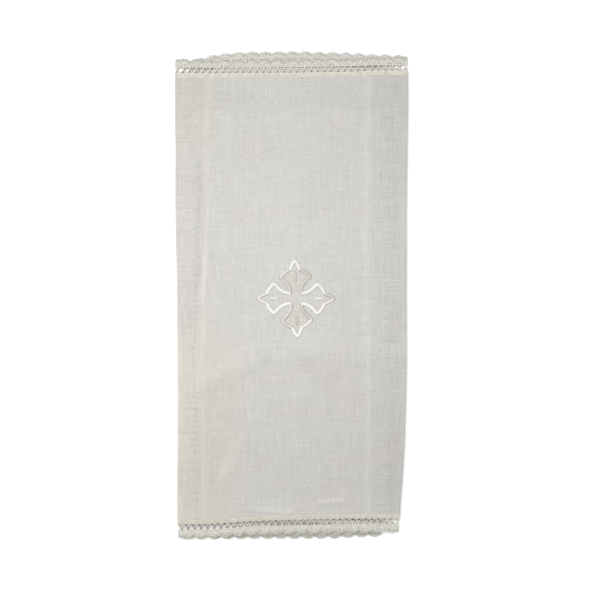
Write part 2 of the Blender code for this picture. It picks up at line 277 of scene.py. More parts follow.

# Broad changes of the linen's colour on the front panel: how much lighter it gets, which is painted light and
# painted shade for how the light falls over the cloth, how much warmer and rosier it gets, and where each
# change starts and over what run it grows, across and along. A negative run grows to the left or towards the
# near lace, and a change with no place given is the same all the way.
WHOLE = (-METRE, 1.0)
Wash = namedtuple("Wash", "light warm rosy x x_run y y_run", defaults=(0.0, 0.0, 0.0, *WHOLE, *WHOLE))
WASHES = (
    Wash(light=-0.045, y=40.0, y_run=65.0),
    Wash(light=-0.04, y=118.0, y_run=15.0),
    Wash(light=-0.065, y=-50.0, y_run=-90.0),
    Wash(light=0.02, y=-132.0, y_run=-8.0),
    Wash(light=-0.035, x=-10.0, x_run=60.0),
    Wash(light=-0.025, x=53.5, x_run=3.0),
    Wash(light=-0.02, x=-66.0, x_run=-6.0, y=-70.0, y_run=20.0),
    Wash(light=0.05, x=-62.0, x_run=-14.0, y=0.0, y_run=-60.0),
    Wash(light=-0.01, warm=0.035, x=-46.0, x_run=-8.0, y=96.0, y_run=16.0),
    Wash(warm=0.022, x=-20.0, x_run=-30.0, y=0.0, y_run=-60.0),
    Wash(warm=0.035, x=-46.0, x_run=-12.0, y=0.0, y_run=-60.0),
    Wash(rosy=0.007, x=-50.0, x_run=-6.0, y=-30.0, y_run=20.0),
    Wash(rosy=0.005, y=0.0, y_run=-60.0),
)

# What warmth and rosiness take from the red, green and blue
WARMTH = np.array([0.0, 0.15, 1.0])
ROSINESS = np.array([0.0, 1.0, 1.3])

# Painted shade: the lower part is darker from a line that is level on the right and falls to the left of its
# bend
LOW_LINE = -36.0
LOW_LINE_BEND = -10.0
LOW_LINE_FALL = 0.4
LOW_LINE_RUN = 12.0
LOW_LINE_SHADE = 0.04

# The right fold's round gets a painted highlight, and the linen between the cross's outlines is rosier in its
# upright arms
FOLD_LIGHT = 0.12
FOLD_LIGHT_RUN = 0.7
ARM_ROSY = 0.012
ARM_START = 4.0
ARM_START_FADE = 4.0
ARM_END = 20.0
ARM_HALF_WIDTH = 8.0
ARM_FADE = 3.0

# Painted light and shade that the turned edges of the hems beneath leave on the front panel: a painted
# highlight over each edge and painted shade in the dimples of the stitches
HemMark = namedtuple("HemMark", "half_width light")
LEFT_HEM_HIGHLIGHT = HemMark(1.9, 0.065)
RIGHT_HEM_HIGHLIGHT = HemMark(1.8, 0.05)
DIMPLE_SHADE = HemMark(1.1, -0.11)
DIMPLES_OUT = 5.0  # from the left line to the dimples of the stitches
FAR_AWAY = 99.0  # the distance given where the cloth isn't the front panel

# Slubs get painted shade on the right of the panel and, half as much, on its left, where it has fewer layers
# behind it
SLUBBY_RIGHT = 53.5
SLUBBY_RIGHT_END = 80.0
SLUBBY_LEFT = -58.0
SLUB_LIMIT = 0.42  # only the thinnest threads, whose noise is below this
SLUB_DEPTH = 0.5

# The photograph's frame: its width, the pixel at the origin of these tables, and the size of a pixel
FRAME_PIXELS = 600
ORIGIN_PIXEL = (290.5, 295.0)
PIXEL = 0.68


def column(table, name):
    return np.array([getattr(row, name) for row in table])


def read(table, key, name, at, rounding):
    """A table's column at each place: straight from row to row, with the corners rounded off."""
    keys, values = column(table, key), column(table, name)
    steps = np.linspace(-rounding, rounding, 5)
    return sum(np.interp(at + step, keys, values) for step in steps) / len(steps)


def eased(value):
    """0 below 0, 1 above 1, and a smooth rise between."""
    t = np.clip(value, 0.0, 1.0)
    return t * t * (3 - 2 * t)


def unit(vectors):
    """The same directions with a length of 1."""
    return vectors / np.maximum(np.linalg.norm(vectors, axis=-1, keepdims=True), TINY)


Section = namedtuple(
    "Section", "under_edge middle_edge left right left_rise right_rise left_run right_run left_drop"
)


def section_at(along):
    """The folded cloth's cross-section at each distance along it."""
    rows = (read(STATIONS, "along", name, along, STATION_ROUNDING) for name in Station._fields[1:])
    at = Station(along, *rows)
    half = LINEN_THICKNESS / 2
    right_room = at.right_fold - at.under_edge - 2 * EDGE_COVER - LAYER_PITCH / 2
    left_room = at.middle_edge - at.left_fold - 2 * EDGE_COVER - LAYER_PITCH / 2
    left_drop = np.clip(left_room / DROP_RUN, 0.0, 1.0)
    left_rise = (2 - left_drop) * LAYER_PITCH / 2
    right_rise = np.full_like(left_rise, LAYER_PITCH / 2)
    return Section(
        at.under_edge,
        at.middle_edge,
        at.left_fold + half + left_rise,
        at.right_fold - half - right_rise,
        left_rise,
        right_rise,
        np.clip(left_room, 1.0, DROP_RUN),
        right_room,
        left_drop,
    )


def seam(layer, end, x):
    """Where a layer's near or far lace seam lies along the cloth, at each place across it."""
    return read(SEAMS[layer], "across", end, x, SEAM_ROUNDING)


def lengthwise(layer, x, along):
    """Where a layer's points lie along the folded cloth: spread between its seams, and beyond them as far
    out as on the flat cloth."""
    near, far = seam(layer, "near", x), seam(layer, "far", x)
    share = np.clip((along + HALF_LINEN) / (2 * HALF_LINEN), 0.0, 1.0)
    beyond = along - np.clip(along, -HALF_LINEN, HALF_LINEN)
    return near + (far - near) * share + beyond


def height_left(x, y):
    """The layers' height above the lowest as a share of their height in the linen: they lie closer together
    in the lace, from the front panel's seams outward."""
    past = np.maximum(y - seam("front", "far", x), seam("front", "near", x) - y)
    return 1 - CLOSING * eased((past - CLOSING_START) / CLOSING_RUN)


def hem_relief(x, edge, inward):
    """How far the hem of a flap beneath lifts the front panel."""
    into = (x - edge) * inward
    step = HEM_STEP * eased(into / HEM_STEP_RUN) * (1 - eased((into - HEM_WIDTH) / HEM_STEP_RUN))
    ridge = HEM_RIDGE * np.exp(-(((into - HEM_WIDTH) / HEM_RIDGE_WIDTH) ** 2))
    return step + ridge


def near_crease(x, y, crease):
    """1 along a crease, and falling off to 0 at its half width."""
    start = np.array([crease.x0, crease.y0])
    line = np.array([crease.x1, crease.y1]) - start
    length = np.sqrt(line @ line)
    way = np.stack([x, y], -1) - start
    share = way @ line / (line @ line)
    across = np.linalg.norm(way - share[..., None] * line, axis=-1) / crease.half_width
    beyond = np.maximum(0.0, np.abs(share - 0.5) - CREASE_EVEN) * length / crease.half_width / 2
    return 1 - eased(np.hypot(across, beyond))


def front_relief(x, y, section):
    """How far the front panel lies above its even level: creases, hems showing through, and slow waves."""
    rise = hem_relief(x, section.middle_edge, 1) + UNDER_HEM_SHARE * hem_relief(x, section.under_edge, -1)
    for crease in CREASES:
        rise = rise + crease.height * near_crease(x, y, crease)
    waves = np.sin(x / WAVE_ACROSS + 0.6 * np.sin(y / WAVE_SWAY)) * np.sin(y / WAVE_ALONG + 1.3)
    waves = waves + np.sin((x + 1.6 * y) / WAVE_SLANTING)
    return rise + WAVE_HEIGHT * (waves + 2)


def on_flat(layer, share, along):
    """Points of one of the three flat layers."""
    section = section_at(along)
    start, end = {
        "under": (section.under_edge, section.left),
        "front": (section.left, section.right),
        "middle": (section.right, section.middle_edge),
    }[layer]
    x = start + (end - start) * share
    y = lengthwise(layer, x, along)
    over_under = 1 - eased((x - section.under_edge - EDGE_COVER) / section.right_run)
    off_middle = eased((section.middle_edge - EDGE_COVER - x) / section.left_run)
    over_middle = 1 - section.left_drop * off_middle
    level = {"under": 0 * x, "middle": over_under, "front": over_under + over_middle}[layer]
    z = LOWEST_MIDDLE + LAYER_PITCH * level * height_left(x, y)
    if layer == "front":
        from_folds = eased(np.minimum(x - section.left, section.right - x) / CALM)
        curl = NEAR_CURL * eased((seam("front", "near", x) - y - CURL_START) / CURL_RUN)
        z = z + from_folds * front_relief(x, y, section) + curl
    return np.stack([x, y, z], -1)


def on_fold(side, share, along):
    """Points of the half circle at a fold."""
    section = section_at(along)
    left = side == "left"
    centre_x, rise = (section.left, section.left_rise) if left else (section.right, section.right_rise)
    turn = (share - 0.5) * pi
    x = centre_x + (-1 if left else 1) * rise * np.cos(turn)
    front_share = share if left else 1 - share
    y = (1 - front_share) * lengthwise("under" if left else "middle", centre_x, along)
    y = y + front_share * lengthwise("front", centre_x, along)
    lift = rise + (1 if left else -1) * rise * np.sin(turn)
    return np.stack([x, y, LOWEST_MIDDLE + lift * height_left(centre_x, y)], -1)


def lay(across, along, off):
    """Takes points of the flat cloth to the folded cloth. off is their height above its face side."""
    across, along, off = (np.asarray(value, float) for value in (across, along, off))
    out = np.empty((*across.shape, 3))
    step = 0.01  # of a run to each side, which gives the cloth's slope
    for run, (start, length) in RUNS.items():
        here = (across >= start) if run != "under" else np.ones_like(across, bool)
        share = (across[here] - start) / length
        place = on_fold if run in ("left", "right") else on_flat
        middle = place(run, share, along[here])
        way = place(run, share + step, along[here]) - place(run, share - step, along[here])
        normal = unit(np.stack([-way[:, 2], 0 * way[:, 1], way[:, 0]], -1))
        out[here] = middle + normal * off[here][:, None]
    return out


def origin_shift():
    """From the places in these tables to the frame: the cross's middle is known in both."""
    low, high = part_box("cross_outline")
    middle = (low + high) / 2 / MM
    return np.array([middle.x - CROSS_CENTRE[0], middle.y - CROSS_CENTRE[1], 0.0])


SHIFT = origin_shift()


def new_object(name, points, faces, material, uv, marks):
    """A smooth mesh from points in millimetres. uv is per face corner, and marks are three numbers per
    point by name."""
    mesh = bpy.data.meshes.new(name)
    mesh.from_pydata(((points + SHIFT) * MM).tolist(), [], faces)
    mesh.uv_layers.new(name="UVMap").data.foreach_set("uv", np.ravel(uv))
    for mark, values in marks.items():
        rgba = np.concatenate([values, np.ones((len(values), 1))], 1)
        mesh.color_attributes.new(mark, "FLOAT_COLOR", "POINT").data.foreach_set("color", np.ravel(rgba))
    mesh.shade_smooth()
    mesh.materials.append(material)
    made = bpy.data.objects.new(name, mesh)
    bpy.context.scene.collection.objects.link(made)
    return made


class Yarns:
    """Round threads that are collected into one mesh, a batch of equally long lists of points at a time."""

    def __init__(self):
        self.points, self.faces, self.uv, self.tones = [], [], [], []
        self.count = 0

    def add(self, paths, radius, tone, sides=5, flatten=1.0):
        """paths is threads by points by 3, with the third coordinate off the cloth. flatten is a thread's
        height as a share of its width."""
        paths = np.asarray(paths, float)
        threads, steps, _ = paths.shape
        way = unit(np.gradient(paths, axis=1))
        side = unit(np.cross(way, (0.0, 0.0, 1.0)))
        lift = np.cross(side, way)
        angle = 2 * pi * np.arange(sides) / sides
        radius = np.broadcast_to(np.asarray(radius, float), (threads, steps))[..., None, None]
        ring = np.cos(angle)[:, None] * side[:, :, None] + flatten * np.sin(angle)[:, None] * lift[:, :, None]
        points = paths[:, :, None] + radius * ring
        self.points.append(points.reshape(-1, 3))
        tone = np.broadcast_to(np.asarray(tone, float), (threads, steps, 3))
        self.tones.append(np.repeat(tone.reshape(-1, 3), sides, axis=0))

        thread, step, turn = np.meshgrid(
            np.arange(threads), np.arange(steps - 1), np.arange(sides), indexing="ij"
        )
        after = (turn + 1) % sides

        def index(step, turn):
            return self.count + (thread * steps + step) * sides + turn

        quads = [index(step, turn), index(step + 1, turn), index(step + 1, after), index(step, after)]
        quads = np.stack(quads, -1).reshape(-1, 4)
        length = np.cumsum(np.linalg.norm(np.diff(paths, axis=1, prepend=paths[:, :1]), axis=-1), axis=1)
        start, end = length[thread, step], length[thread, step + 1]
        along = np.stack([start, end, end, start], -1) * MM
        around = np.stack([turn, turn, turn + 1, turn + 1], -1) / sides
        self.uv.append(np.stack([along, around], -1).reshape(-1, 2))
        self.faces += quads.tolist()
        first = self.count + np.arange(threads)[:, None] * steps * sides + np.arange(sides)
        self.faces += first.tolist()
        self.faces += (first + (steps - 1) * sides)[:, ::-1].tolist()
        self.uv.append(np.zeros((2 * threads * sides, 2)))
        self.count += threads * steps * sides

    def build(self, name, material, placed, mirrored=False):
        """placed takes the flat points to the cloth."""
        points = placed(np.concatenate(self.points))
        marks = {"tone": np.concatenate(self.tones)}
        made = new_object(name, points, self.faces, material, np.concatenate(self.uv), marks)
        if mirrored:
            made.data.flip_normals()
        return made


def node(tree, kind, inputs=(), **settings):
    """A shader node whose inputs, by name or number, take plain values or other nodes' outputs."""
    made = tree.nodes.new("ShaderNode" + kind)
    for key, value in settings.items():
        setattr(made, key, value)
    for key, value in dict(inputs).items():
        if isinstance(value, bpy.types.NodeSocket):
            tree.links.new(value, made.inputs[key])
        else:
            made.inputs[key].default_value = value
    return made


def math(tree, operation, *values):
    return node(tree, "Math", dict(enumerate(values)), operation=operation).outputs[0]


def added(tree, *values):
    return reduce(lambda total, value: math(tree, "ADD", total, value), values)


def multiplied(tree, *values):
    return reduce(lambda total, value: math(tree, "MULTIPLY", total, value), values)


def stretched_noise(tree, place, grain):
    """Noise between 0 and 1 whose grain has the size across and along the cloth that its row gives."""
    scale = (METRE / grain.across, METRE / grain.along, 1.0)
    stretched = node(tree, "VectorMath", {0: place, 1: scale}, operation="MULTIPLY").outputs[0]
    settings = {"Vector": stretched, "Scale": 1.0, "Detail": grain.detail, "Roughness": 0.55}
    return node(tree, "TexNoise", settings, noise_dimensions="2D").outputs["Fac"]


def new_material(name, roughness, sheen=0.0, specular=0.3):
    made = bpy.data.materials.new(name)
    made.use_nodes = True
    shader = made.node_tree.nodes["Principled BSDF"]
    shader.inputs["Roughness"].default_value = roughness
    shader.inputs["Specular IOR Level"].default_value = specular
    shader.inputs["Sheen Weight"].default_value = sheen
    return made, made.node_tree, shader


def tinted(tree, tone, factor):
    """The tone colour of the mesh, made lighter or darker by a factor."""
    colour = node(tree, "Attribute", attribute_name=tone, attribute_type="GEOMETRY").outputs["Color"]
    return node(tree, "VectorMath", {0: colour, "Scale": factor}, operation="SCALE").outputs[0]


def add_relief(tree, shader, height, strength, depth):
    """Gives a surface small bumps, of this depth in millimetres."""
    bump = node(tree, "Bump", {"Height": height, "Strength": strength, "Distance": depth * MM})
    tree.links.new(bump.outputs[0], shader.inputs["Normal"])


def bell(tree, distance, mark):
    """A mark's brightness where a distance is 0, falling off to both sides of it."""
    share = math(tree, "DIVIDE", distance, mark.half_width)
    return multiplied(tree, math(tree, "EXPONENT", multiplied(tree, share, share, -1.0)), mark.light)


def hem_painted_light(tree, place, across, along):
    """Painted light and shade from the turned edges of the hems beneath the front panel: a painted highlight
    over each, painted shade in the dimples of the stitches beside the left one, and painted shade on slubs
    where the cloth has fewer layers."""
    marks = node(tree, "Attribute", attribute_name="hems", attribute_type="GEOMETRY").outputs["Vector"]
    left, right, see_through_shade = node(tree, "SeparateXYZ", {0: marks}).outputs
    from_seam = node(tree, "SeparateXYZ", {0: place}).outputs[1]
    turns = multiplied(tree, from_seam, 2 * pi * METRE / HEM_STITCH_PITCH)
    stitches = math(tree, "MAXIMUM", math(tree, "SINE", turns), 0.0)
    thin = math(tree, "SUBTRACT", math(tree, "MINIMUM", across, along), SLUB_LIMIT)
    return (
        bell(tree, left, LEFT_HEM_HIGHLIGHT),
        bell(tree, right, RIGHT_HEM_HIGHLIGHT),
        multiplied(tree, stitches, bell(tree, added(tree, left, DIMPLES_OUT), DIMPLE_SHADE)),
        multiplied(tree, math(tree, "MINIMUM", thin, 0.0), see_through_shade, SLUB_DEPTH),
    )


def linen_material():
    """Plain-woven linen: threads of uneven thickness, long slubs both ways, and a fine relief."""
    made, tree, shader = new_material("linen_weave", roughness=0.88, sheen=0.06)
    place = node(tree, "UVMap", uv_map="UVMap").outputs[0]
    noises = {name: stretched_noise(tree, place, grain) for name, grain in GRAINS.items()}
    across, along = noises["threads across"], noises["threads along"]
    changes = [
        multiplied(tree, math(tree, "SUBTRACT", noise, 0.5), GRAINS[name].amount)
        for name, noise in noises.items()
    ]
    # The threads pass over and under each other, and none of them runs quite straight
    wander = multiplied(tree, math(tree, "SUBTRACT", noises["clouds"], 0.5), WEAVE_WANDER)
    split = node(tree, "SeparateXYZ", {0: place})
    turns = METRE * pi / WEAVE_PITCH
    warp, weft = (
        math(tree, "SINE", added(tree, multiplied(tree, split.outputs[way], turns), wander))
        for way in (0, 1)
    )
    checks = multiplied(tree, warp, weft)
    changes.append(multiplied(tree, checks, WEAVE_LIGHT))
    factor = added(tree, 1.0, *changes, *hem_painted_light(tree, place, across, along))
    # Some patches of the yarn are a little rosier and some a little greener
    hue = math(tree, "SUBTRACT", stretched_noise(tree, place, HUE_GRAIN), 0.5)
    green = math(tree, "SUBTRACT", 1.0, multiplied(tree, hue, HUE_GRAIN.amount))
    shift = node(tree, "CombineXYZ", {0: 1.0, 1: green, 2: 1.0}).outputs[0]
    colour = node(tree, "VectorMath", {0: tinted(tree, "tone", factor), 1: shift}, operation="MULTIPLY")
    tree.links.new(colour.outputs[0], shader.inputs["Base Color"])

    slubs = added(tree, across, along)
    height = added(tree, multiplied(tree, checks, 0.5), multiplied(tree, slubs, 1.6))
    add_relief(tree, shader, height, strength=0.5, depth=0.06)
    return made


def yarn_material(name, roughness, sheen, specular, twist, depth, mottle):
    """A twisted thread of two plies. twist is the length of one turn of them in millimetres."""
    made, tree, shader = new_material(name, roughness, sheen, specular)
    place = node(tree, "UVMap", uv_map="UVMap").outputs[0]
    split = node(tree, "SeparateXYZ", {0: place})
    along = multiplied(tree, split.outputs[0], 2 * pi * METRE / twist)
    around = multiplied(tree, split.outputs[1], 4 * pi)
    plies = math(tree, "SINE", added(tree, along, around))
    position = node(tree, "NewGeometry").outputs["Position"]
    grain = node(tree, "TexNoise", {"Vector": position, "Scale": 900.0, "Detail": 2.0}).outputs["Fac"]
    # Painted shade in the grooves between the plies
    groove_shade = multiplied(tree, math(tree, "SUBTRACT", plies, 1.0), 0.04)
    spots = multiplied(tree, math(tree, "SUBTRACT", grain, 0.5), mottle)
    tree.links.new(tinted(tree, "tone", added(tree, 1.0, groove_shade, spots)), shader.inputs["Base Color"])
    add_relief(tree, shader, plies, strength=0.6, depth=depth)
    return made


def linen_tone(points):
    """The linen's colour at each point, with painted light and painted shade on the front panel."""
    x, y = points[:, 0], points[:, 1]
    shade, warm, rosy = np.ones_like(x), np.zeros_like(x), np.zeros_like(x)
    # Broad painted light and shade, and the linen's warmer and rosier tints
    for wash in WASHES:
        share = eased((x - wash.x) / wash.x_run) * eased((y - wash.y) / wash.y_run)
        shade += wash.light * share
        warm += wash.warm * share
        rosy += wash.rosy * share
    # Painted shade below a line that falls to the left
    low_line = LOW_LINE - LOW_LINE_FALL * np.maximum(0, LOW_LINE_BEND - x)
    shade -= LOW_LINE_SHADE * eased((low_line - y) / LOW_LINE_RUN)
    # Painted highlight on the right fold's round
    shade += FOLD_LIGHT * eased((x - section_at(y).right) / FOLD_LIGHT_RUN)
    # The creases' painted highlights and painted shade
    shade += sum(crease.light * near_crease(x, y, crease) for crease in CREASES)
    out, aside = np.abs(y - CROSS_CENTRE[1]), np.abs(x - CROSS_CENTRE[0])
    in_arm = eased((out - ARM_START) / ARM_START_FADE) * eased((ARM_END - out) / ARM_FADE)
    rosy += ARM_ROSY * in_arm * eased((ARM_HALF_WIDTH - aside) / ARM_FADE)
    tint = 1 - warm[:, None] * WARMTH - rosy[:, None] * ROSINESS
    return LINEN_COLOUR * shade[:, None] * tint


# Where the middle flap's hem shows through as a pale line, by distance along the cloth
HemPoint = namedtuple("HemPoint", "along across")
HEM_LINE = (
    HemPoint(-163.0, -59.4),
    HemPoint(-100.0, -59.6),
    HemPoint(-70.0, -60.4),
    HemPoint(-51.0, -60.8),
    HemPoint(-17.0, -59.8),
    HemPoint(34.0, -57.8),
    HemPoint(65.0, -57.0),
    HemPoint(105.0, -56.2),
    HemPoint(163.0, -56.0),
)


def on_front_panel(across):
    """Whether a place across the flat cloth is on the front panel."""
    start, length = RUNS["front"]
    return (across >= start) & (across <= start + length)


def hem_marks(across, points):
    """How far each point of the front panel lies from the hem edges beneath it, the middle flap's and the
    under flap's, and how much painted shade its slubs get there."""
    x, y = points[:, 0], points[:, 1]
    from_left = x - np.interp(y, *np.transpose(HEM_LINE))
    from_right = x - section_at(y).under_edge + HEM_WIDTH - HEM_STITCH_IN
    see_through_shade = eased((x - SLUBBY_RIGHT) / 4) * eased((SLUBBY_RIGHT_END - x) / 8)
    see_through_shade = see_through_shade + 0.5 * eased((SLUBBY_LEFT - x) / 8)
    here = on_front_panel(across)
    distances = [np.where(here, distance, FAR_AWAY) for distance in (from_left, from_right)]
    return np.stack([*distances, see_through_shade], -1)


def linen_cloth(material):
    """The linen panel with its two side hems, a fine grid laid over the fold. Its rows lie closest by the
    near lace, where the small creases are."""
    steps = {"under": 40, "left": 10, "front": 116, "right": 10, "middle": 44}
    edge, fine_end, coarse_start = 0.3, -132.0, -130.8
    near_edge = np.array([edge, HEM_WIDTH - edge / 2, HEM_WIDTH + edge / 2])
    across = [0.0, *near_edge, *(FLAT_WIDTH - near_edge)]
    for run, (start, length) in RUNS.items():
        across += list(start + length * np.arange(1, steps[run] + 1) / steps[run])
    across = np.array(sorted(across))
    seam_row = HALF_LINEN - edge
    fine, coarse = np.linspace(-seam_row, fine_end, 34), np.linspace(coarse_start, seam_row, 156)
    along = np.concatenate([[-HALF_LINEN], fine, coarse, [HALF_LINEN]])
    grid_across, grid_along = (grid.ravel() for grid in np.meshgrid(across, along, indexing="ij"))
    points = lay(grid_across, grid_along, 0 * grid_across)
    rows = len(along)
    column_at, row_at = np.meshgrid(np.arange(len(across) - 1), np.arange(rows - 1), indexing="ij")
    corner = (column_at * rows + row_at).ravel()
    faces = np.stack([corner, corner + rows, corner + rows + 1, corner + 1], -1)
    flat = np.stack([grid_across, grid_along + HALF_LINEN], -1) * MM
    marks = {"tone": linen_tone(points), "hems": hem_marks(grid_across, points)}
    made = new_object("linen_sheet", points, faces.tolist(), material, flat[faces.ravel()], marks)
    hem = made.vertex_groups.new(name="hem")
    from_edge = np.minimum(grid_across, FLAT_WIDTH - grid_across)
    for turned, thickness in ((True, HEM_THICKNESS), (False, LINEN_THICKNESS)):
        here = np.flatnonzero((from_edge < HEM_WIDTH) == turned)
        hem.add(here.tolist(), thickness / HEM_THICKNESS, "REPLACE")
    solid = made.modifiers.new("Thickness", "SOLIDIFY")
    solid.thickness = HEM_THICKNESS * MM
    solid.offset = 0.0
    solid.vertex_group = "hem"
    return made


def flat_points(across, out, lift):
    """Points of the flat cloth from their places across, their distances out and their heights."""
    return np.stack(np.broadcast_arrays(across, out, lift), -1)


def straight(start, end, steps):
    """Threads from start to end points, arrays of 3-vectors."""
    share = np.linspace(0, 1, steps)[None, :, None]
    return start[:, None] * (1 - share) + end[:, None] * share


def hem_stitches(material):
    """The running stitches that hold the two side hems, on both faces of the flaps."""
    rng = np.random.default_rng(2)
    yarns = Yarns()
    margin, wander, sunk, arch, steps = 1.5, 0.06, 0.06, 0.12, 5
    along = np.arange(-HALF_LINEN + margin, HALF_LINEN - margin, HEM_STITCH_PITCH)
    height = HEM_THICKNESS / 2 - sunk + arch * np.sin(pi * np.linspace(0, 1, steps))
    for line in (HEM_WIDTH - HEM_STITCH_IN, FLAT_WIDTH - HEM_WIDTH + HEM_STITCH_IN):
        for face in (-1, 1):
            start = flat_points(line + rng.normal(0, wander, len(along)), along, 0.0)
            paths = straight(start, start + np.array([0.0, HEM_STITCH, 0.0]), steps)
            paths[..., 2] = face * height
            yarns.add(paths, HEM_THREAD_RADIUS, HEM_THREAD)
    return yarns.build("hem_stitches", material, lambda points: lay(*points.T))


def rim_at(across):
    """How far out the scalloped rim lies: valleys at every second stem, but none at the folds."""
    out = np.full_like(across, RIM_VALLEY)
    for run, (start, length) in RUNS.items():
        here = (across >= start) & (across <= start + length)
        if run in CELLS:
            turns = (across[here] - start) / CELL / 2
            out[here] += RIM_EXTRA[run] + RIM_RISE * np.abs(np.sin(pi * turns)) ** SCALLOP_FULLNESS
        else:
            from_fold = np.abs(across - start - length / 2) - length / 2
            out += FOLD_RIM * (RIM_VALLEY + RIM_RISE - out) * (1 - eased(from_fold / FOLD_RIM_RUN))
    return out


def valley_places():
    """Where along the flat width two scallops meet."""
    return np.array(
        [RUNS[run].start + 2 * CELL * number for run in CELLS for number in range(1, CELLS[run] // 2)]
    )


def chain(yarns, out, radius, tone, lift=0.1, step=0.46):
    """A crochet chain that runs the whole width this far out from the seam. out and tone may be functions of
    the place across."""
    margin, knob, period = 0.15, 0.2, 4 * step
    across = np.arange(margin, FLAT_WIDTH - margin, step)
    knobs = radius * (1 + knob * np.sin(2 * pi * across / period))
    path = flat_points(across, out(across) if callable(out) else out, lift)
    yarns.add(path[None], knobs, tone(across) if callable(tone) else tone, flatten=0.8)


def far_rim(across):
    """The far rim's colour: as cream as the lace on the front panel and whiter on the flaps."""
    return np.where(on_front_panel(across)[:, None], CREAM, COTTON)


def near_rim(across):
    return np.broadcast_to(CREAM, (len(across), 3))


def uneven(tone, shape, rng):
    """A colour for each point of each thread, lighter or darker by chance."""
    spread = 0.05
    whole = rng.normal(0, spread, (shape[0], 1, 1))
    return tone * (1 + whole + rng.normal(0, spread, (*shape, 1)))


def lace_heading(yarns, rng):
    """The dense band along the seam: short stitches between two chains over a flat tape, whose darker tone is
    painted shade between the stitches.
    """
    tape_middle, tape_half_width = 1.5, 1.6
    tape = flat_points(np.arange(LACE_MARGIN, FLAT_WIDTH - LACE_MARGIN, 1.5), tape_middle, 0.0)
    yarns.add(tape[None], tape_half_width, BAND * TAPE_SHADE, sides=6, flatten=0.14)
    across = np.arange(STITCH / 2, FLAT_WIDTH, STITCH)
    lean = rng.normal(0, 0.08, len(across))
    start = flat_points(across - lean, 0.1, 0.08)
    end = flat_points(across + lean, 2.8, 0.08)
    yarns.add(straight(start, end, 4), STITCH_RADIUS, uneven(BAND, (len(across), 4), rng), flatten=0.55)
    chain(yarns, 0.2, CHAIN_RADIUS, BAND)
    chain(yarns, HEADING - 0.3, HEADING_CHAIN_RADIUS, PALE)


def lace_openwork(yarns, rng):
    """The open row: each stem parts into two arms, which meet their neighbours' at the heading."""
    for run in CELLS:
        stems = RUNS[run].start + CELL * np.arange(CELLS[run] + 1)
        edge = LACE_MARGIN + 0.05
        stems = np.clip(stems + rng.normal(0, 0.1, len(stems)), edge, FLAT_WIDTH - edge)
        split = SPLIT + rng.normal(0, 0.18, len(stems))
        top = flat_points(stems + rng.normal(0, 0.1, len(stems)), BODY + 0.5, 0.0)
        fork = flat_points(stems, split, 0.0)
        yarns.add(straight(top, fork, 4), STITCH_RADIUS, PALE, sides=6, flatten=0.8)
        for side, off in ((-1, 0.1), (1, -0.1)):
            reach = np.clip(stems + side * CELL * 0.47, LACE_MARGIN, FLAT_WIDTH - LACE_MARGIN)
            arm = straight(fork, flat_points(reach, HEADING - 0.1, off), 5)
            # The arms leave the stem in a small curve
            arm[:, 1:-1, 0] += side * 0.12
            arm[:, 0, 1] += 0.3
            yarns.add(arm, ARM_RADIUS, PALE, flatten=0.85)


def lace_row(yarns, rng, low, high, side, first=0.0, last=FLAT_WIDTH - LACE_MARGIN):
    """One row of short leaning stitches between two lines, which are functions of the place across. Here
    and there, and where two scallops meet, a stitch is short and leaves a small hole."""
    across = np.arange(first + STITCH * (0.5 + 0.25 * side), last, STITCH)
    lean = side * 0.22 + rng.normal(0, 0.1, len(across))
    height = 0.06 * (-1) ** np.arange(len(across))
    start = flat_points(across - lean, low(across), height)
    end = flat_points(across + lean, high(across), height)
    short = rng.random(len(across)) < SHORT_CHANCE
    if side < 0:
        short |= np.abs(across[:, None] - valley_places()).min(axis=1) < STITCH / 2
    end = np.where(short[:, None], start * (1 - SHORT_LENGTH) + end * SHORT_LENGTH, end)
    swell = ROW_RADIUS * (1 + 0.12 * np.array([-1, 1, 1, -1]))
    yarns.add(straight(start, end, 4), swell, uneven(CREAM, (len(across), 4), rng), flatten=0.7)


def gap_shade_band(yarns, across, low, high, tone):
    """A thin band of painted shade that lies beneath a dense row and shows between its stitches."""
    band = flat_points(across, (low + high) / 2, -0.1)
    yarns.add(band[None], (high - low) / 2, tone, sides=4, flatten=0.03)


def lace_body(yarns, rng, hollow, rim_tone):
    """The dense scalloped rows between the open row and the rim, with chains between them."""

    def halfway(at):
        return BODY + HALFWAY * (rim_at(at) - BODY)

    across = np.arange(LACE_MARGIN, FLAT_WIDTH - LACE_MARGIN, 0.6)
    # hollow is the colour of the painted shade between the stitches
    gap_shade_band(yarns, across, BODY, rim_at(across) - 0.4, hollow)
    lace_row(yarns, rng, lambda at: np.full_like(at, BODY), halfway, 1)
    lace_row(yarns, rng, halfway, lambda at: rim_at(at) - 0.6, -1)
    chain(yarns, BODY + 0.1, CHAIN_RADIUS, PALE)
    chain(yarns, halfway, RIM_CHAIN_RADIUS, CREAM, lift=0.14)
    chain(yarns, lambda at: rim_at(at) - 0.45, RIM_CHAIN_RADIUS, rim_tone, lift=0.08)


def flap_filling(yarns, rng):
    """The flap's open row is closed by stitches where it lies beneath the front panel's rim."""
    fold = RUNS["middle"].start
    first, last, low = fold + FILLING_START, fold + FILLING_END, BODY - FILLING_DEPTH
    gap_shade_band(yarns, np.arange(first, last, 0.6), low, BODY, GAP_SHADE[1])
    lace_row(yarns, rng, lambda at: at * 0 + low, lambda at: at * 0 + BODY - 0.2, 1, first, last)


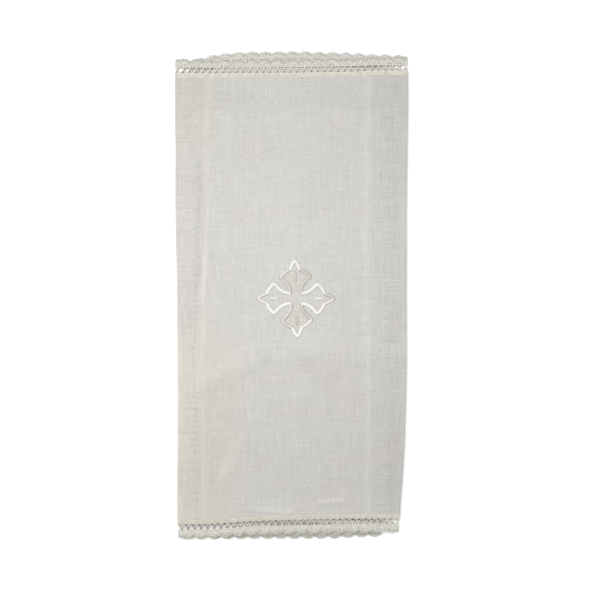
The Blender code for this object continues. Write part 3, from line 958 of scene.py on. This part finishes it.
def lace_picots(yarns, rng, rim_tone):
    """The rim's small loops."""
    across = np.arange(PICOT / 2, FLAT_WIDTH, PICOT)
    step = 0.2  # to each side, which gives the rim's slope
    slope = (rim_at(across + step) - rim_at(across - step)) / (2 * step)
    outward = unit(np.stack([-slope, np.ones_like(slope)], -1))
    sideways = np.stack([outward[:, 1], -outward[:, 0]], -1)
    turn = np.linspace(-0.3 * pi, 1.3 * pi, 9)[None, :, None]
    size = rng.normal(0.52, 0.05, len(across))[:, None, None]
    centre = np.stack([across, rim_at(across)], -1) + outward * 0.4
    loops = centre[:, None] + size * (np.cos(turn) * sideways[:, None] + np.sin(turn) * outward[:, None])
    lift = np.broadcast_to(0.05 * np.cos(turn), (*loops.shape[:2], 1))
    tone = uneven(rim_tone(across)[:, None], loops.shape[:2], rng)
    yarns.add(np.concatenate([loops, lift], -1), PICOT_RADIUS, tone)


def lace(name, end, material, seed):
    """The crochet edging of one end, 1 for the far one and -1 for the near one."""
    rng = np.random.default_rng(seed)
    yarns = Yarns()
    lace_heading(yarns, rng)
    lace_openwork(yarns, rng)
    rim_tone = far_rim if end > 0 else near_rim
    lace_body(yarns, rng, GAP_SHADE[end], rim_tone)
    lace_picots(yarns, rng, rim_tone)
    if end > 0:
        flap_filling(yarns, rng)
    else:
        for points, tones in zip(yarns.points, yarns.tones):
            tones[points[:, 0] < RUNS["under"].length] *= UNDER_SHADE

    def placed(points):
        return lay(np.clip(points[:, 0], 0.0, FLAT_WIDTH), end * (HALF_LINEN + points[:, 1]), points[:, 2])

    return yarns.build(name, material, placed, mirrored=end < 0)


def curve_points(start, control, end, steps):
    """Points along a quadratic curve, without its last."""
    t = np.arange(steps)[:, None] / steps
    return (1 - t) ** 2 * start + 2 * t * (1 - t) * control + t**2 * end


# The painted sheen of the satin stitches on each stretch of each arm's outline, from the hollow by the centre
# to the shoulder and the leaf-shaped tip, on the arm's right side (seen outward) and on its left
Arm = namedtuple("Arm", "turn vein gloss")
ARMS = {
    "right": Arm(-0.3, 1.0, (1.0, 0.9, 0.5, 0.1, 0.9, 1.0)),
    "top": Arm(91.8, 0.2, (0.15, 0.1, 0.95, 1.0, 0.45, 0.15)),
    "left": Arm(179.8, 1.0, (1.0, 1.0, 0.5, 0.55, 1.0, 1.0)),
    "bottom": Arm(272.6, 0.0, (0.35, 0.2, 0.9, 1.0, 0.75, 0.1)),
}


def arm_outline():
    """One arm of the cross's outline, from its right hollow out to the tip and back along its left side:
    the points, and which stretch each belongs to."""
    inner = np.array([CROSS_INNER, CROSS_INNER])
    corner = np.array([CROSS_CORNER_OUT, CROSS_CORNER_WIDE])
    notch = np.array([CROSS_NOTCH_OUT, CROSS_NOTCH_WIDE])
    tip = np.array([CROSS_TIP_OUT, 0.0])
    hollow = np.array([CROSS_INNER + 0.5 * (corner[0] - inner[0]), CROSS_INNER - HOLLOW_DEPTH])
    stretches = [
        curve_points(inner, hollow, corner, 60),
        curve_points(corner, (corner + notch) / 2 + SHOULDER_BULGE, notch, 36),
        curve_points(notch, (notch + tip) / 2 + LEAF_BULGE, tip, 30),
    ]
    upper = np.concatenate(stretches)
    number = np.repeat(np.arange(3), [len(stretch) for stretch in stretches])
    points = np.concatenate([upper * (1, -1), [tip], upper[:0:-1]])
    return points, np.concatenate([number, [2], 5 - number[:0:-1]])


def even_spacing(points, extra, pitch):
    """The same line with its points this far apart, and the values that go with them."""
    length = np.concatenate([[0], np.cumsum(np.linalg.norm(np.diff(points, axis=0), axis=1))])
    at = np.linspace(0, length[-1], int(length[-1] / pitch))
    return [np.interp(at, length, values) for values in (*points.T, *extra)]


def satin_strands(yarns, centre, across, gloss, rng):
    """Stitches that lie across a line at its points, crowned along the middle. across is half the width, and
    gloss is how much painted sheen each stitch has.
    """
    share = np.array([-1.0, -0.6, 0.0, 0.6, 1.0])
    crown = STITCH_CROWN * (1 - np.abs(share) ** 2.2) + 0.02
    paths = np.empty((len(centre), len(share), 3))
    paths[..., :2] = centre[:, None] + across[:, None] * share[None, :, None]
    paths[..., 2] = crown + rng.normal(0, 0.015, (len(centre), 1))
    gloss = np.clip(gloss + rng.normal(0, 0.05, len(gloss)), -0.3, 1)
    tone = SATIN_PAINTED_DULL + gloss[:, None] * (SATIN_PAINTED_SHEEN - SATIN_PAINTED_DULL)
    # Painted shade darkens a stitch at its ends, and a painted highlight makes it a little paler in its
    # middle, less so where it is glossy
    sunk = np.array([0.24, 0.03, -0.06, 0.03, 0.24]) * (1 - 0.75 * gloss[:, None])
    yarns.add(paths, THREAD_RADIUS, tone[:, None] * (1 - sunk)[..., None], flatten=0.8)


def on_front(points):
    """Takes points of the cross, with their height above the panel, onto the front panel's upper face."""
    x, y = points[:, 0] + CROSS_CENTRE[0], points[:, 1] + CROSS_CENTRE[1]
    section = section_at(y)
    z = CLOTH_TOP + front_relief(x, y, section) + points[:, 2]
    return np.stack([x, y, z], -1)


def cross_outline(material):
    """The outline of the cross in satin stitch."""
    rng = np.random.default_rng(11)
    yarns = Yarns()
    arm, stretch = arm_outline()
    for row in ARMS.values():
        x, y, gloss = even_spacing(arm, [np.array(row.gloss)[stretch]], THREAD_PITCH)
        turn = radians(row.turn)
        rotation = np.array([[np.cos(turn), np.sin(turn)], [-np.sin(turn), np.cos(turn)]])
        centre = np.stack([x, y], -1) @ rotation
        way = np.gradient(centre, axis=0)
        way = sum(np.roll(way, turns, 0) for turns in (2, 1, 0, -1, -2))
        way[:2], way[-2:] = way[2], way[-3]
        way = unit(way)
        across = np.stack([-way[:, 1], way[:, 0]], -1) * STITCH_BAND / 2
        satin_strands(yarns, centre, across, gloss, rng)
    return yarns.build("satin_outline", material, on_front)


def cross_vein(name, arm, material):
    """A short bar of satin stitches along the middle of one arm."""
    rng = np.random.default_rng(round(arm.turn) + 20)
    yarns = Yarns()
    out = np.arange(VEIN_START, VEIN_START + VEIN_LENGTH, THREAD_PITCH)
    turn = radians(arm.turn)
    direction = np.array([np.cos(turn), np.sin(turn)])
    centre = out[:, None] * direction
    sideways = np.array([-direction[1], direction[0]])
    taper = 0.6 + 0.4 * np.sin(pi * (out - VEIN_START) / VEIN_LENGTH)
    across = sideways * (VEIN_WIDTH / 2 * taper)[:, None]
    satin_strands(yarns, centre, across, np.full(len(out), arm.vein), rng)
    return yarns.build(name, material, on_front)


def area_light(name, place, size, power, colour):
    """A soft light at a place in metres, turned to the middle of the cloth."""
    light = bpy.data.objects.new(name, bpy.data.lights.new(name, "AREA"))
    light.data.shape = "SQUARE"
    light.data.size = size
    light.data.energy = power
    light.data.color = colour
    light.location = place
    light.rotation_euler = (-Vector(place)).to_track_quat("-Z", "Y").to_euler()
    bpy.context.scene.collection.objects.link(light)


def studio():
    """The pale floor, the soft light from the photograph's upper left, and the camera straight above."""
    floor_mesh = bpy.data.meshes.new("floor")
    reach = 3.0
    corners = [(-reach, -reach, 0), (reach, -reach, 0), (reach, reach, 0), (-reach, reach, 0)]
    floor_mesh.from_pydata(corners, [], [(0, 1, 2, 3)])
    paint, _, shader = new_material("floor_paper", roughness=0.95, specular=0.1)
    shader.inputs["Base Color"].default_value = (0.98, 0.98, 0.98, 1.0)
    floor_mesh.materials.append(paint)
    floor = bpy.data.objects.new("floor", floor_mesh)
    bpy.context.scene.collection.objects.link(floor)

    world = bpy.data.worlds.new("studio")
    world.use_nodes = True
    background = world.node_tree.nodes["Background"]
    background.inputs["Color"].default_value = (1.0, 1.0, 1.0, 1.0)
    background.inputs["Strength"].default_value = 0.70
    bpy.context.scene.world = world
    area_light("key", (-1.1, 0.9, 1.7), size=0.9, power=28.0, colour=(1.0, 0.995, 0.98))
    area_light("fill", (0.8, -0.9, 1.6), size=1.4, power=4.0, colour=(0.98, 0.99, 1.0))

    camera = bpy.data.objects.new("camera", bpy.data.cameras.new("camera"))
    camera.data.lens = 85.0
    camera.data.sensor_width = 36.0
    x = (FRAME_PIXELS / 2 - ORIGIN_PIXEL[0]) * PIXEL + SHIFT[0]
    y = (ORIGIN_PIXEL[1] - FRAME_PIXELS / 2) * PIXEL + SHIFT[1]
    distance = FRAME_PIXELS * PIXEL * camera.data.lens / camera.data.sensor_width
    camera.location = (x * MM, y * MM, (distance + CLOTH_TOP) * MM)
    camera.data.clip_start = 0.01
    bpy.context.scene.collection.objects.link(camera)
    bpy.context.scene.camera = camera
    bpy.context.scene.view_settings.view_transform = "Standard"
    bpy.context.scene.view_settings.look = "None"


def main():
    studio()
    linen = linen_material()
    cotton = yarn_material("crochet_cotton", 0.85, 0.05, 0.3, twist=1.2, depth=0.05, mottle=0.25)
    silk = yarn_material("satin_thread", 0.42, 0.1, 0.5, twist=0.8, depth=0.02, mottle=0.06)

    sheet = linen_cloth(linen)
    sewn_on = {
        "lace_top": lace("lace_far", 1, cotton, 3),
        "lace_bottom": lace("lace_near", -1, cotton, 4),
        "cross_outline": cross_outline(silk),
    }
    for direction, arm in ARMS.items():
        sewn_on["cross_vein_" + direction] = cross_vein("vein_" + direction, arm, silk)
    stitches = hem_stitches(cotton)
    for piece in (sheet, stitches):
        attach(piece, "root")
        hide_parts("linen_cloth")
    for part, piece in sewn_on.items():
        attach(piece, "root")
        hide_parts(part)


main()
